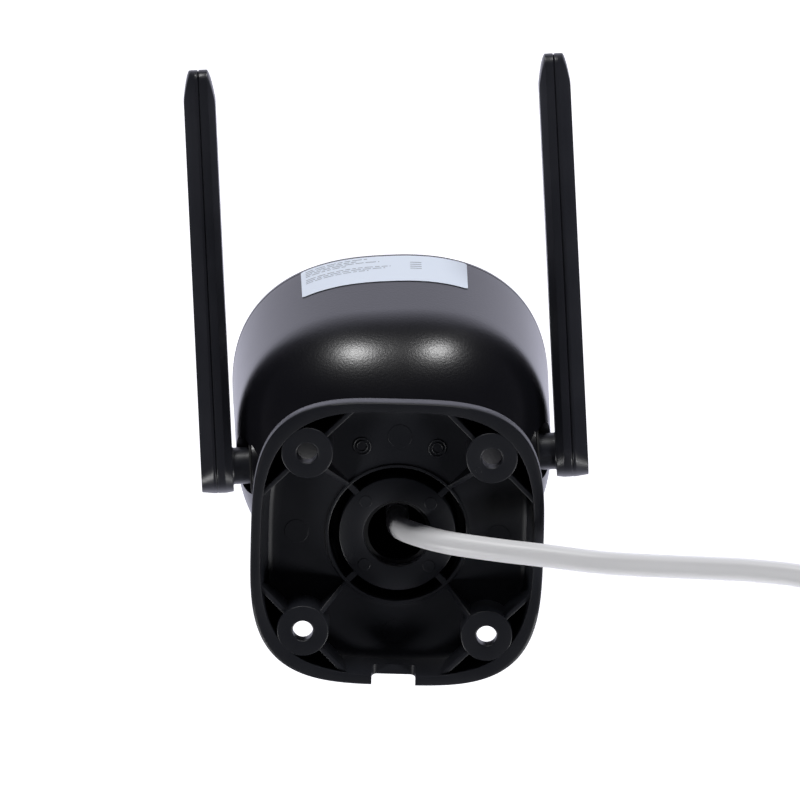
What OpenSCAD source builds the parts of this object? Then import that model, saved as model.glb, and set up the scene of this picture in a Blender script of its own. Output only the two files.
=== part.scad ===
// Outdoor Wi-Fi security camera: a round-square head on a ball-jointed wall base,
// with two folding paddle antennas and a short cable tail.
// The wall is the plane y = 0, the camera looks along -Y and +Z is up.
// The origin is the centre of the wall base, on the wall.

/* [Wall base] */
// Width and height of the wall base
base_w = 70; // [68:0.5:74]
// Thickness of the wall base, from the wall to its front face
base_t = 12; // [12:0.25:13]
// Squareness of the base outline: 2 is round, larger is squarer
base_square = 3.45; // [3.2:0.05:3.8]
// Wall thickness of the rim round the hollow back
rim_wall = 2.4; // [2.3:0.1:3]
// Thickness of the floor between the hollow back and the front face
floor_t = 2; // [1.8:0.1:2.2]
// Distance between the wall screw holes, across and up
hole_pitch = 44; // [42:0.5:45]
// Diameter of the wall screw holes
screw_hole_d = 4.9; // [4.2:0.1:5.2]
// Diameter of the screw bosses
boss_d = 12.4; // [12:0.1:13]
// Diameter of the cable hole through the centre of the base
cable_hole_d = 16; // [15:0.5:17]
// Width of the cable notch in the lower rim
notch_w = 10.5; // [8:0.5:12]

/* [Ball joint] */
// Distance from the wall to the centre of the ball
ball_stand = 20; // [20:0.25:20.5]
// Diameter of the ball
ball_d = 21; // [20.8:0.1:21]
// Diameter of the neck between the ball and the head
neck_d = 11; // [10.4:0.1:11]

/* [Head] */
// Width of the head at its front rim
head_w = 78.6; // [78.2:0.2:79]
// Height of the head at its front rim
head_h = 73.4; // [73:0.2:73.8]
// Squareness of the head's cross-section: 2 is round
head_square = 2.42; // [2.38:0.02:2.48]
// Distance from the centre of the ball to the front rim
head_reach = 75; // [75:0.25:76]
// Wall thickness of the rear housing
head_wall = 2.2; // [2:0.1:2.4]
// Upward tilt of the head at rest
head_pitch = 11.5; // [5:0.5:14]
// Sideways turn of the head at rest
head_yaw = 2.1; // [0:0.1:4]
// Twist of the head about its own axis at rest
head_roll = 4.2; // [0:0.1:8]

/* [Antennas] */
// Overall length of an antenna
antenna_len = 103.6; // [90:0.2:120]
// Width of an antenna across its paddle end
antenna_w = 15; // [14.6:0.1:15.4]
// Thickness of an antenna
antenna_t = 7.7; // [7.6:0.1:8]
// Diameter of the antenna pivot pins
pin_d = 9; // [8.8:0.1:9.2]
// Forward lean of the antennas from the head's upright at rest
antenna_lean = 25.6; // [0:0.2:40]

/* [Cable] */
// Diameter of the main cable
cable_d = 5.6; // [5.2:0.1:5.8]
// Diameter of the two short tails
tail_d = 3.6; // [3.2:0.1:3.8]

/* [Hidden] */
$fn = 64;

black = "#1c1e22";
panel_black = "#101216";
steel = "#b9bcc0";
board_green = "#1f5a3a";
cable_white = "#ecebea";

gap = 0.3;      // clearance between pieces that only sit beside each other
run_fit = 0.08; // radial clearance of a running fit
overlap = 0.01; // how far a cutter reaches past the face it cuts

// Wall base
base_sides = 56;
base_straight = 2.8;
base_shoulder = 10;
floor_y = -(base_t - floor_t);
pocket_inset = 4.3;
pocket_square = 3.1;
rib_t = 1.1;
disc_r = 14;
moat_r = 16.5;
collar_r = 18.5;
collar_y = -(ball_stand + 4);
socket_r = 12.2;
rear_lip_t = 2.2;
boss_bore_len = 4;
counterbore_d = 9.5;

// Ball joint
ball_r = ball_d / 2;
ball_wall = 1.8;
ball_open_angle = 75;
neck_bore_d = 6.4;
stud_len = 24.2;
arc_steps = 15;
liner_r = socket_r - run_fit;
ring_r = 21.2;
ring_grips = 24;
lug_front = -19;
lug_w = 3;

// Head. Distances along the head, called s, run rearward from the front rim.
head_sides = 56;
rim_r = head_w / 2;
rim_low = -head_h / 2;
head_flat = head_h / head_w;
front_y = -head_reach;
bezel_t = 1.2;
dome_s = 30;
dome_r = rim_r - 0.6;
dome_depth = head_reach - 14 - dome_s;
collar_half_w = 9.5;
dome_steps = 8;
neck_boss_r = 10.5;
neck_boss_front = 54;
pivot_s = 39.7;
seat_x = 34.8;
seat_r = 7.1;
seat_boss_r = 7.9;
seat_boss_in = 29.5;
post_pos = 23;
post_r = 3;
post_front = 8;
post_rear = 34;

// Antennas, in their own frame: pivot at the origin, blade along +Z, outside towards +X
antenna_r = antenna_w / 2;
antenna_half_t = antenna_t / 2;
antenna_x = rim_r + gap + antenna_half_t;
pin_drop = 6.5;
antenna_top = antenna_len - pin_drop;
antenna_top_w = 13;
outer_flat = 0.8;
outer_bevel = 2.6;
inner_flat = 2.1;
inner_bevel = 1.75;
tip_start = 2.1;
tip_middle = 3.2;
tip_drop = 2.6;
tip_len = 6.7;
shell_wall = 1.1;

// Outline of a round square of half-width r in the XZ plane at depth y
function round_square(r, n, y, sides) = [
    for (i = [0 : sides - 1])
        let (t = 360 * i / sides, k = r / pow(pow(abs(cos(t)), n) + pow(abs(sin(t)), n), 1 / n))
            [k * cos(t), y, k * sin(t)]
];
// The same outline with its height drawn in by a factor
function head_ring(r, n, flat, y) = [for (p = round_square(r, n, y, head_sides)) [p.x, p.y, flat * p.z]];

// Solid through a list of rings, from the front ring to the rear ring
module loft(rings) {
    m = len(rings[0]);
    last = (len(rings) - 1) * m;
    polyhedron(
        points = [for (ring = rings) each ring],
        faces = concat(
            [[for (i = [m - 1 : -1 : 0]) i]],
            [
                for (j = [0 : len(rings) - 2], i = [0 : m - 1])
                    let (a = j * m + i, b = j * m + (i + 1) % m) each [[a, b, b + m], [a, b + m, a + m]]
            ],
            [[for (i = [0 : m - 1]) last + i]]
        ),
        convexity = 6
    );
}

// Plate with the head's outline, from y_front to y_rear
module head_plate(r, y_front, y_rear) {
    translate([0, y_rear, 0]) rotate([90, 0, 0]) linear_extrude(y_rear - y_front)
        polygon([for (p = head_ring(r, head_square, head_flat, 0)) [p.x, p.z]]);
}

// Cylinder along Y from y_front to y_rear
module rod_y(r, y_front, y_rear) {
    translate([0, y_rear, 0]) rotate([90, 0, 0]) cylinder(h = y_rear - y_front, r = r);
}

// Cone along Y, radius r_front at y_front and r_rear at y_rear
module cone_y(r_front, r_rear, y_front, y_rear) {
    translate([0, y_rear, 0]) rotate([90, 0, 0])
        cylinder(h = y_rear - y_front, r1 = r_rear, r2 = r_front);
}

// Ring along Y
module ring_y(r_out, r_in, y_front, y_rear) {
    difference() {
        rod_y(r_out, y_front, y_rear);
        rod_y(r_in, y_front - overlap, y_rear + overlap);
    }
}

// Box between two corners
module box(low, high) {
    translate(low) cube(high - low);
}

module at_ball() {
    translate([0, -ball_stand, 0]) children();
}

// Puts the head's own frame (ball at the origin, head along -Y) in place
module in_head() {
    at_ball() rotate([0, 0, head_yaw]) rotate([-head_pitch, 0, 0]) rotate([0, head_roll, 0]) children();
}

// ---- Wall base ----

// How far the base outline has drawn in at a depth behind the rim
function shoulder_inset(depth) =
    let (d = max(0, depth - base_straight)) base_shoulder - sqrt(pow(base_shoulder, 2) - d * d);

module base_body() {
    depths = [base_t, base_t - 1, base_t - 2.4, base_t - 4.2, base_t - 6.4, base_straight, 0];
    loft([
        for (d = depths)
            round_square(base_w / 2 - shoulder_inset(d), base_square, -d, base_sides)
    ]);
}

module base_pocket() {
    depth = -floor_y;
    steps = [1, 0.85, 0.6, 0.3, 0, -0.1];
    loft([
        for (k = steps)
            round_square(
                base_w / 2 - rim_wall - (pocket_inset - rim_wall) * max(0, k) * max(0, k),
                pocket_square, -depth * k, base_sides
            )
    ]);
}

module at_wall_holes() {
    for (x = [-1, 1], z = [-1, 1]) translate([x * hole_pitch / 2, 0, z * hole_pitch / 2]) children();
}

// Ribs through the bosses: one from rim to rim, one out to the corner
module boss_ribs() {
    corner = hole_pitch / sqrt(2);
    rib_top = -0.6;
    for (a = [45 : 90 : 315]) rotate([0, a, 0]) {
        box([corner - rib_t / 2, floor_y - 1, -20], [corner + rib_t / 2, rib_top, 20]);
        box([corner, floor_y - 1, -rib_t / 2], [corner + 12, rib_top, rib_t / 2]);
    }
}

// Sloping gussets between each boss and the central ring
module gussets() {
    corner = hole_pitch / sqrt(2);
    gusset_top = -1.5;
    for (a = [45 : 90 : 315]) rotate([0, a, 0])
        translate([0, 0, -rib_t / 2]) linear_extrude(rib_t) polygon([
            [moat_r, floor_y - 1], [corner, floor_y - 1], [corner, gusset_top],
            [corner - boss_d / 2, gusset_top], [moat_r + 0.5, floor_y + 1]
        ]);
}

// Three short lugs on the collar that the lock ring's groove runs over
module collar_lugs() {
    lug_h = 0.7;
    for (a = [60, 180, 300]) rotate([0, a, 0]) intersection() {
        ring_y(collar_r + lug_h, collar_r - 1, lug_front, lug_front + lug_w);
        box([0, lug_front - 1, -4], [30, lug_front + lug_w + 1, 4]);
    }
}

// Ring-shaped moat round the central disc, crossed by four small bridges
module moat() {
    bridge_t = 1.5;
    bridge_depth = 3;
    difference() {
        rod_y(moat_r, -ball_stand, 1);
        rod_y(disc_r, -ball_stand - 1, floor_y);
        for (a = [45, 135]) rotate([0, a, 0])
            box([-moat_r - 1, floor_y - bridge_depth, -bridge_t / 2], [moat_r + 1, floor_y, bridge_t / 2]);
    }
}

module base_plate() {
    color(black) difference() {
        union() {
            base_body();
            rod_y(collar_r, collar_y, -base_t + 1);
            collar_lugs();
        }
        difference() {
            base_pocket();
            boss_ribs();
            gussets();
            at_wall_holes() rod_y(boss_d / 2, floor_y - 1, 0);
            rod_y(moat_r + 0.7, floor_y - 1, floor_y + 1);
        }
        moat();
        rod_y(socket_r, collar_y - 1, floor_y - rear_lip_t);
        rod_y(cable_hole_d / 2, collar_y, 1);
        at_wall_holes() {
            rod_y(screw_hole_d / 2, -base_t - 1, 1);
            rod_y(counterbore_d / 2, -base_t - 1, -boss_bore_len);
        }
        box([-notch_w / 2, -7, -base_w], [notch_w / 2, 1, -base_w / 2 + rim_wall + 1.5]);
    }
}

// ---- Ball joint ----

// Points of an arc round the ball's centre, as [radius, depth], measured from the head's side
function ball_arc(r, from, to) = [
    for (k = [0 : arc_steps])
        let (a = from + (to - from) * k / arc_steps) [r * sin(a), -r * cos(a)]
];

// Solid turned about the Y axis from a profile of [radius, depth] points
module turned(profile) {
    rotate([-90, 0, 0]) rotate_extrude($fn = 96) polygon(profile);
}

// Friction cup between the ball and the base
module socket_liner() {
    inner_r = ball_r + run_fit + 0.02;
    opening_r = cable_hole_d / 2 + 0.4;
    front = collar_y - 0.1 + ball_stand;
    back = floor_y - rear_lip_t - 0.1 + ball_stand;
    color("#3a3c40") at_ball() turned(concat(
        ball_arc(inner_r, acos(-front / inner_r), 180 - asin(opening_r / inner_r)),
        [[opening_r, back], [liner_r, back], [liner_r, front]]
    ));
}

// Ring that keeps the ball and its liner in the base
module lock_ring() {
    front = -ball_stand - 6.5;
    lip_back = collar_y - 0.3;
    color(black) difference() {
        union() {
            rod_y(ring_r, -ball_stand - 3, -base_t - 0.4);
            cone_y(16, 20.5, front, -ball_stand - 3);
        }
        rod_y(collar_r + 0.15, lip_back, 0);
        rod_y(collar_r + 1, lug_front - gap, lug_front + lug_w + gap);
        cone_y(13.5, 9.9, front - overlap, lip_back + overlap);
        for (k = [0 : ring_grips - 1]) rotate([0, k * 360 / ring_grips, 0])
            translate([ring_r + 0.35, 0, 0]) rod_y(0.9, -ball_stand - 2, -base_t);
    }
}

// Hollow ball and its neck, with the cable way through both
module ball_stud() {
    neck_r = neck_d / 2;
    bore_r = neck_bore_d / 2;
    inner_r = ball_r - ball_wall;
    rim = 180 - ball_open_angle;
    color(black) in_head() turned(concat(
        [[bore_r, -stud_len], [neck_r, -stud_len]],
        ball_arc(ball_r, asin(neck_r / ball_r), rim),
        ball_arc(inner_r, rim, asin(bore_r / inner_r))
    ));
}

// Nut inside the head that keeps the neck in its bore
module stud_nut() {
    nut_back = front_y + neck_boss_front - gap;
    color("#2b2d31") in_head() difference() {
        translate([0, nut_back, 0]) rotate([90, 0, 0]) cylinder(h = 2.5, d = 19, $fn = 6);
        rod_y(neck_d / 2, nut_back - 3, nut_back + 1);
    }
}

// ---- Head housing ----

function dome_half_w(r, angle) = r * cos(angle);
function dome_square(angle) = head_square + (2 - head_square) * sin(angle);
function dome_flat(angle) = head_flat + (1 - head_flat) * pow(sin(angle), 2);

// Rings of a head shell: straight part from s_front, then the dome down to half-width end_r
function head_rings(inset, s_front, end_r) =
    let (r = dome_r - inset, depth = dome_depth - inset, last = acos(end_r / r))
    concat(
        [
            for (s = [s_front, s_front + 2, (s_front + dome_s) / 2])
                head_ring(
                    rim_r - inset - (rim_r - dome_r) * max(0, s) / dome_s,
                    head_square, head_flat, front_y + s
                )
        ],
        [
            for (k = [0 : dome_steps])
                let (a = last * k / dome_steps)
                head_ring(
                    dome_half_w(r, a), dome_square(a), dome_flat(a), front_y + dome_s + depth * sin(a)
                )
        ]
    );

module both_sides() {
    children();
    mirror([1, 0, 0]) children();
}

// Cylinder along X from x_in to x_out, at the antenna pivot
module pivot_rod(r, x_in, x_out) {
    translate([x_in, front_y + pivot_s, 0]) rotate([0, 90, 0]) cylinder(h = x_out - x_in, r = r);
}

module at_posts() {
    for (x = [-1, 1], z = [-1, 1]) translate([x * post_pos, 0, z * post_pos]) children();
}

// Ribs from the screw posts to the corners of the housing
module post_ribs() {
    rib_in = post_pos * sqrt(2);
    rib_out = rim_r * pow(2, 0.5 - 1 / head_square) * (1 + head_flat) / 2 - head_wall * 0.85;
    for (a = [45 : 90 : 315]) rotate([0, a, 0])
        box([rib_in, front_y + post_front, -0.8], [rib_out, front_y + post_rear, 0.8]);
}

// Solid round the antenna pivots, kept inside the housing's outer face
module pivot_bosses() {
    both_sides() pivot_rod(seat_boss_r, seat_boss_in, seat_x);
    intersection() {
        both_sides() pivot_rod(seat_boss_r, seat_x - 1, rim_r);
        loft(head_rings(head_wall / 3, bezel_t, 12));
    }
}

speaker_s = 31.5;
speaker_low = rim_low + 4.7;
module speaker_holes() {
    hole_r = 0.8;
    translate([0, front_y + speaker_s, rim_low - 2]) {
        cylinder(h = 6.4, r = hole_r);
        for (a = [0 : 60 : 300]) rotate([0, 0, a]) translate([3, 0, 0]) cylinder(h = 6.4, r = hole_r);
    }
}

button_x = 17;
button_s = 16;
button_r = 2;
button_low = rim_low + 1.4;

// Block centred on the card cover, from height low to height high
card_s = 16;
card_w = 24;
card_len = 14;
card_floor = rim_low + 2.3;
card_pad_top = rim_low + 4.5;
card_screw_r = 1;
module card_block(half_w, half_len, low, high) {
    box([-half_w, front_y + card_s - half_len, low], [half_w, front_y + card_s + half_len, high]);
}
module card_screw_places() {
    for (x = [-1, 1]) translate([9.7 * x, front_y + card_s, 0]) children();
}

module rear_housing() {
    color(black) in_head() difference() {
        union() {
            difference() {
                loft(head_rings(0, bezel_t, collar_half_w));
                loft(head_rings(head_wall, bezel_t - 1, 12));
            }
            rod_y(collar_half_w, front_y + 57, -14);
            rod_y(neck_boss_r, front_y + neck_boss_front, front_y + 58.5);
            pivot_bosses();
            at_posts() rod_y(post_r, front_y + post_front, front_y + post_rear);
            post_ribs();
            card_block(card_w / 2 + 1, card_len / 2 + 0.7, rim_low + head_wall - gap, card_pad_top);
        }
        both_sides() {
            pivot_rod(seat_r, seat_x, seat_x + 6);
            pivot_rod(pin_d / 2 + run_fit, seat_boss_in - 1, seat_x + 1);
        }
        rod_y(neck_d / 2 + run_fit, -30, 0);
        rod_y(7.7, -15.4, 0);
        at_posts() rod_y(1.1, front_y + 7, front_y + 18);
        speaker_holes();
        translate([button_x, front_y + button_s, rim_low - 1]) cylinder(h = 8, r = button_r + 0.15);
        card_block(card_w / 2, card_len / 2, rim_low - 1, card_floor);
        card_block(6.5, 3.5, rim_low, card_pad_top + 1);
        card_screw_places() translate([0, 0, rim_low]) cylinder(h = 5.5, r = card_screw_r);
    }
}

// Rubber ring round the neck
module neck_seal() {
    color("#101113") in_head() ring_y(7.6, neck_d / 2 + gap, -15.3, -14.3);
}

panel_r = rim_r - 4.8;
led_x = 24;
sensor_z = 22;

// Bezel ring that closes the front of the housing
module front_ring() {
    color(panel_black) in_head() difference() {
        union() {
            head_plate(rim_r, front_y, front_y + bezel_t);
            head_plate(rim_r - head_wall - gap, front_y + bezel_t, front_y + 4.8);
        }
        head_plate(panel_r + 0.2, front_y - 1, front_y + 3);
        head_plate(panel_r - 3.2, front_y + 2, front_y + 6);
    }
}

module led_places() {
    for (x = [-1, 1]) translate([led_x * x, 0, 0]) children();
}

// Gloss front panel with its lens, lamp and sensor openings
module front_panel() {
    color(panel_black) in_head() difference() {
        head_plate(panel_r, front_y + 0.8, front_y + 2.8);
        rod_y(12, front_y - 1, front_y + 4);
        led_places() rod_y(6.5, front_y - 1, front_y + 4);
        translate([0, 0, sensor_z]) rod_y(1.6, front_y - 1, front_y + 4);
        translate([0, 0, -sensor_z]) rod_y(0.6, front_y - 1, front_y + 4);
    }
}

// Thin gasket under the front panel's edge
module panel_seal() {
    color("#0c0d0e") in_head() difference() {
        head_plate(panel_r - 0.4, front_y + 2.85, front_y + 2.98);
        head_plate(panel_r - 2.6, front_y + 2, front_y + 4);
    }
}

// Plate that carries the lens and the boards
module inner_frame() {
    color("#2f3136") in_head() difference() {
        head_plate(rim_r - head_wall - 1, front_y + 6.3, front_y + post_front);
        box([-29, front_y + 6, -12], [29, front_y + 9, 12]);
        at_posts() rod_y(1.4, front_y + 6, front_y + 9);
    }
}

module frame_screws() {
    color(steel) in_head() at_posts() {
        rod_y(2.4, front_y + 5, front_y + 6.3);
        rod_y(1.0, front_y + 6.3, front_y + 16);
    }
}

// ---- Optics and boards ----

module lens_cover_glass() {
    color("#20242c") in_head() rod_y(11.8, front_y + 0.9, front_y + 2.5);
}

module lens_barrel() {
    color("#17181b") in_head() difference() {
        union() {
            rod_y(7, front_y + 3.2, front_y + 20);
            rod_y(8.4, front_y + 3.2, front_y + 6);
        }
        rod_y(5.6, front_y + 3, front_y + 21);
        cone_y(7.6, 5.5, front_y + 3.2 - overlap, front_y + 4.6);
    }
}

// Front lens: a ball cut to a shallow cap, on a short cylinder
module lens_glass() {
    cap_r = 9;
    edge = front_y + 6.2;
    color("#4a5a78") in_head() intersection() {
        rod_y(5.5, front_y + 4.6, edge + 1.6);
        translate([0, edge + sqrt(cap_r * cap_r - 5.5 * 5.5), 0]) sphere(r = cap_r);
    }
}

module lens_holder() {
    color("#26282c") in_head() difference() {
        box([-9, front_y + 12, -9], [9, front_y + 24, 9]);
        rod_y(7.06, front_y + 11, front_y + 20.5);
        box([-6, front_y + 20, -6], [6, front_y + 25, 6]);
    }
}

module image_sensor() {
    color("#5d6a86") in_head() box([-4, front_y + 22.6, -4], [4, front_y + 24, 4]);
}

module sensor_board() {
    color(board_green) in_head() difference() {
        box([-16, front_y + 24, -16], [16, front_y + 25.6, 16]);
        for (x = [-1, 1], z = [-1, 1]) translate([13 * x, 0, 13 * z]) rod_y(1.1, front_y + 23, front_y + 27);
    }
}

module led_board() {
    color(board_green) in_head() difference() {
        box([-30, front_y + 8.1, -14], [30, front_y + 9.7, 14]);
        rod_y(8, front_y + 7, front_y + 11);
    }
}

module white_leds() {
    color("#f4e9b8") in_head() led_places() box([-1.75, front_y + 7, 1], [1.75, front_y + 8.1, 4.5]);
}

module infrared_leds() {
    color("#3b2a45") in_head() led_places() box([-1.75, front_y + 7, -4.5], [1.75, front_y + 8.1, -1]);
}

// Clear cups over the lamps
module led_lenses() {
    color("#d8dde2") in_head() led_places() difference() {
        rod_y(6.3, front_y + 0.9, front_y + 6.2);
        cone_y(3, 5.4, front_y + 2.4, front_y + 6.2 + overlap);
    }
}

module light_sensor() {
    color("#6b7078") in_head() translate([0, 0, sensor_z]) rod_y(2, front_y + 3.2, front_y + 6);
}

module microphone() {
    color(steel) in_head() translate([0, 0, -sensor_z]) rod_y(2.4, front_y + 3.2, front_y + 5.8);
}

module board_corners() {
    for (x = [-1, 1], z = [-1, 1]) translate([18 * x, 0, 16 * z]) children();
}

module main_board() {
    color(board_green) in_head() difference() {
        box([-21, front_y + 36, -19], [21, front_y + 37.6, 19]);
        board_corners() rod_y(1.3, front_y + 35, front_y + 39);
    }
}

module board_screws() {
    color(steel) in_head() board_corners() {
        rod_y(2.1, front_y + 37.6, front_y + 39);
        rod_y(1.2, front_y + 30, front_y + 37.6);
    }
}

module shield_can() {
    color(steel) in_head() box([-13, front_y + 33, -12], [13, front_y + 36, 12]);
}

module wifi_module() {
    color("#8d9196") in_head() box([-8, front_y + 37.6, 7], [8, front_y + 40, 17]);
}

module power_connector() {
    color("#e8e4d8") in_head() box([-5, front_y + 37.6, -3], [5, front_y + 42, 3]);
}

module speaker() {
    color("#3a3c40") in_head() translate([0, front_y + speaker_s, speaker_low]) {
        cylinder(h = 2, r = 7.5);
        translate([0, 0, 2]) cylinder(h = 3.5, r = 5);
    }
}

// Push-in slot for the memory card, behind its cover
module memory_card_slot() {
    color(steel) in_head() difference() {
        box([-8, front_y + 14.8, card_pad_top + gap], [8, front_y + 17.2, -18]);
        box([-5.7, front_y + 15.5, card_pad_top - 1], [5.7, front_y + 16.5, -20]);
    }
}

// ---- Card cover and button ----

module card_cover() {
    color(black) in_head() difference() {
        intersection() {
            card_block(card_w / 2 - gap, card_len / 2 - gap, rim_low - 1, card_floor - 0.35);
            head_plate(rim_r - 0.5, front_y, front_y + dome_s);
        }
        card_screw_places() translate([0, 0, rim_low - 1]) {
            cylinder(h = 6, r = card_screw_r);
            cylinder(h = 2.6, r = 1.75);
        }
    }
}

module card_cover_seal() {
    color("#0c0d0e") in_head() difference() {
        card_block(card_w / 2 - gap, card_len / 2 - gap, card_floor - 0.3, card_floor - 0.05);
        card_block(7, 4, card_floor - 2, card_floor + 2);
        card_screw_places() translate([0, 0, card_floor - 2]) cylinder(h = 4, r = card_screw_r);
    }
}

module card_cover_screws() {
    color(steel) in_head() card_screw_places() {
        translate([0, 0, rim_low + 1.6]) cylinder(h = 3.2, r = card_screw_r - 0.1);
        translate([0, 0, rim_low + 1.05]) cylinder(h = 0.55, r = 1.6);
    }
}

module reset_button() {
    color("#2b2d31") in_head() translate([button_x, front_y + button_s, 0]) {
        translate([0, 0, button_low]) cylinder(h = 6.2, r = button_r);
        translate([0, 0, button_low + 5.5]) cylinder(h = 0.9, r = 2.8);
    }
}

module button_switch() {
    color(steel) in_head() translate([button_x, front_y + button_s, button_low + 7.4])
        box([-2.2, -2.2, 0], [2.2, 2.2, 2.4]);
}

// ---- Label and inner cables ----

// Thin printed label that wraps over the top of the head, next to the front rim
module rating_label() {
    first = 59.7;
    last = 119.3;
    steps = 16;
    label_t = 0.12;
    lift = 0.05;
    s_front = 1.4;
    s_rear = 15.4;
    function on_head(r, t, s) =
        let (
            n = head_square, w = r - (rim_r - dome_r) * s / dome_s,
            k = w / pow(pow(abs(cos(t)), n) + pow(abs(sin(t)), n), 1 / n)
        ) [k * cos(t), front_y + s, head_flat * k * sin(t)];
    module strip(r_in, r_out) {
        rows = [
            for (i = [0 : steps])
                let (t = first + (last - first) * i / steps)
                [
                    on_head(r_in, t, s_front), on_head(r_in, t, s_rear),
                    on_head(r_out, t, s_rear), on_head(r_out, t, s_front)
                ]
        ];
        polyhedron(
            points = [for (row = rows) each row],
            faces = concat(
                [[0, 1, 2, 3]],
                [
                    for (i = [0 : steps - 1], j = [0 : 3])
                        let (a = 4 * i + j, b = 4 * i + (j + 1) % 4)
                            each [[a, a + 4, b + 4], [a, b + 4, b]]
                ],
                [[4 * steps + 3, 4 * steps + 2, 4 * steps + 1, 4 * steps]]
            )
        );
    }
    color("#dfe6f2") in_head() strip(rim_r + lift, rim_r + lift + label_t);
}

// Cable from the hollow ball through the neck to the main board
module inner_cable() {
    color(cable_white) in_head() rod_y(cable_d / 2, front_y + 42, -5.8);
}

// Rubber gland that grips the cable behind the neck
module cable_gland() {
    color("#15161a") in_head() ring_y(7, cable_d / 2, -29.5, -25);
}

// Round tube swept along a list of points
function unit(v) = v / norm(v);
function heading(route, i) = unit(route[min(i + 1, len(route) - 1)] - route[max(i - 1, 0)]);
function ring_at(route, i, r, sides, up) =
    let (d = heading(route, i), u = unit(cross(d, up)), v = cross(d, u))
    [for (k = [0 : sides - 1]) route[i] + r * (cos(360 * k / sides) * u + sin(360 * k / sides) * v)];
function bend(a, b, c, d, t) =
    0.5 * (2 * b + (c - a) * t + (2 * a - 5 * b + 4 * c - d) * t * t + (3 * b - a - 3 * c + d) * t * t * t);
function smooth_route(p, steps) = concat(
    [
        for (i = [0 : len(p) - 2], k = [0 : steps - 1])
            bend(p[max(i - 1, 0)], p[i], p[i + 1], p[min(i + 2, len(p) - 1)], k / steps)
    ],
    [p[len(p) - 1]]
);

module tube(route, d, sides, up) {
    loft([for (i = [0 : len(route) - 1]) ring_at(route, i, d / 2, sides, up)]);
}

// The two aerial leads, from the antenna pins to the wireless module
module antenna_coax() {
    route = [[26.5, -35.3, 0], [23, -33.6, 3], [18, -33, 7.5], [13, -33.8, 10.5], [8.4, -36, 12]];
    color("#26282c") in_head() both_sides() tube(smooth_route(route, 3), 1.2, 8, [0, 0, 1]);
}

// ---- Antennas ----

// Side outline of an antenna drawn in by inset, with its top end at height top.
// The round lower end is drawn in less, by the share given.
module paddle(inset, top, share) {
    corner = 3 - inset / 2;
    hull() {
        translate([0, antenna_r - pin_drop - (1 - share) * inset]) circle(r = antenna_r - inset, $fn = 48);
        for (x = [-1, 1])
            translate([x * (antenna_top_w / 2 - inset - corner), top - corner]) circle(r = corner, $fn = 24);
    }
}

// Slice of the paddle at distance x from the seam
module slice(x, thickness, inset, top, share) {
    translate([x, 0, 0]) rotate([90, 0, 90]) linear_extrude(thickness) paddle(inset, top, share);
}

// Half of an antenna with its seam at x = 0: a flat edge, then a bevel to the face
module half_shell(flat, bevel) {
    thin = 0.01;
    share = 0.15;
    function drawn_in(x) = bevel * max(0, x - flat) / (antenna_half_t - flat);
    difference() {
        hull() {
            slice(0, flat, 0, antenna_top, share);
            if (flat < tip_start) slice(tip_start, thin, drawn_in(tip_start), antenna_top, share);
            slice(tip_middle, thin, drawn_in(tip_middle), antenna_top - tip_drop, share);
            slice(antenna_half_t - thin, thin, bevel, antenna_top - tip_len, share);
        }
        slice(-1, 1 + antenna_half_t - shell_wall - 0.2, bevel + 0.2, antenna_top - tip_len, 1);
    }
}

module in_left_antenna() {
    in_head() translate([antenna_x, front_y + pivot_s, 0]) rotate([antenna_lean, 0, 0]) children();
}

module in_right_antenna() {
    in_head() mirror([1, 0, 0]) translate([antenna_x, front_y + pivot_s, 0])
        rotate([antenna_lean, 0, 0]) children();
}

// Cylinder along X in the antenna's frame, given by its distances from the head's middle plane
module pin_rod(r, x_in, x_out) {
    translate([x_in - antenna_x, 0, 0]) rotate([0, 90, 0]) cylinder(h = x_out - x_in, r = r);
}

clip_in = 27.9;
clip_out = 29.2;
groove_r = 4.2;
coax_bore_r = 1.6;

module antenna_inner() {
    difference() {
        union() {
            mirror([1, 0, 0]) half_shell(inner_flat, inner_bevel);
            pin_rod(pin_d / 2, clip_out + 0.1, antenna_x - antenna_half_t + 0.5);
            pin_rod(groove_r, clip_in - 0.3, clip_out + 0.2);
            pin_rod(pin_d / 2, clip_in - 0.9, clip_in - 0.1);
        }
        pin_rod(coax_bore_r, clip_in - 2, antenna_x - 1);
    }
}

module antenna_element() {
    board_t = 1;
    translate([-board_t / 2, 0, 0]) rotate([90, 0, 90]) linear_extrude(board_t)
        paddle(outer_bevel + 0.8, antenna_top - tip_len - 2, 1);
}

module antenna_snap_clip() {
    difference() {
        pin_rod(6.8, clip_in, clip_out);
        pin_rod(groove_r + 0.05, clip_in - 1, clip_out + 1);
        translate([(clip_in + clip_out) / 2 - antenna_x, 0, 6]) cube([4, 5, 8], center = true);
    }
}

module left_antenna_outer() { color(black) in_left_antenna() half_shell(outer_flat, outer_bevel); }
module left_antenna_inner() { color(black) in_left_antenna() antenna_inner(); }
module left_antenna_board() { color(board_green) in_left_antenna() antenna_element(); }
module left_antenna_clip() { color(steel) in_left_antenna() antenna_snap_clip(); }
module right_antenna_outer() { color(black) in_right_antenna() half_shell(outer_flat, outer_bevel); }
module right_antenna_inner() { color(black) in_right_antenna() antenna_inner(); }
module right_antenna_board() { color(board_green) in_right_antenna() antenna_element(); }
module right_antenna_clip() { color(steel) in_right_antenna() antenna_snap_clip(); }

// Flat rubber ring on the seat round a pivot pin
module seat_ring() {
    difference() {
        pivot_rod(seat_r - 0.2, seat_x, seat_x + 0.6);
        pivot_rod(pin_d / 2 + gap, seat_x - 1, seat_x + 2);
    }
}

module left_antenna_seal() { color("#101113") in_head() seat_ring(); }
module right_antenna_seal() { color("#101113") in_head() mirror([1, 0, 0]) seat_ring(); }

// ---- Cable tail ----

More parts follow.
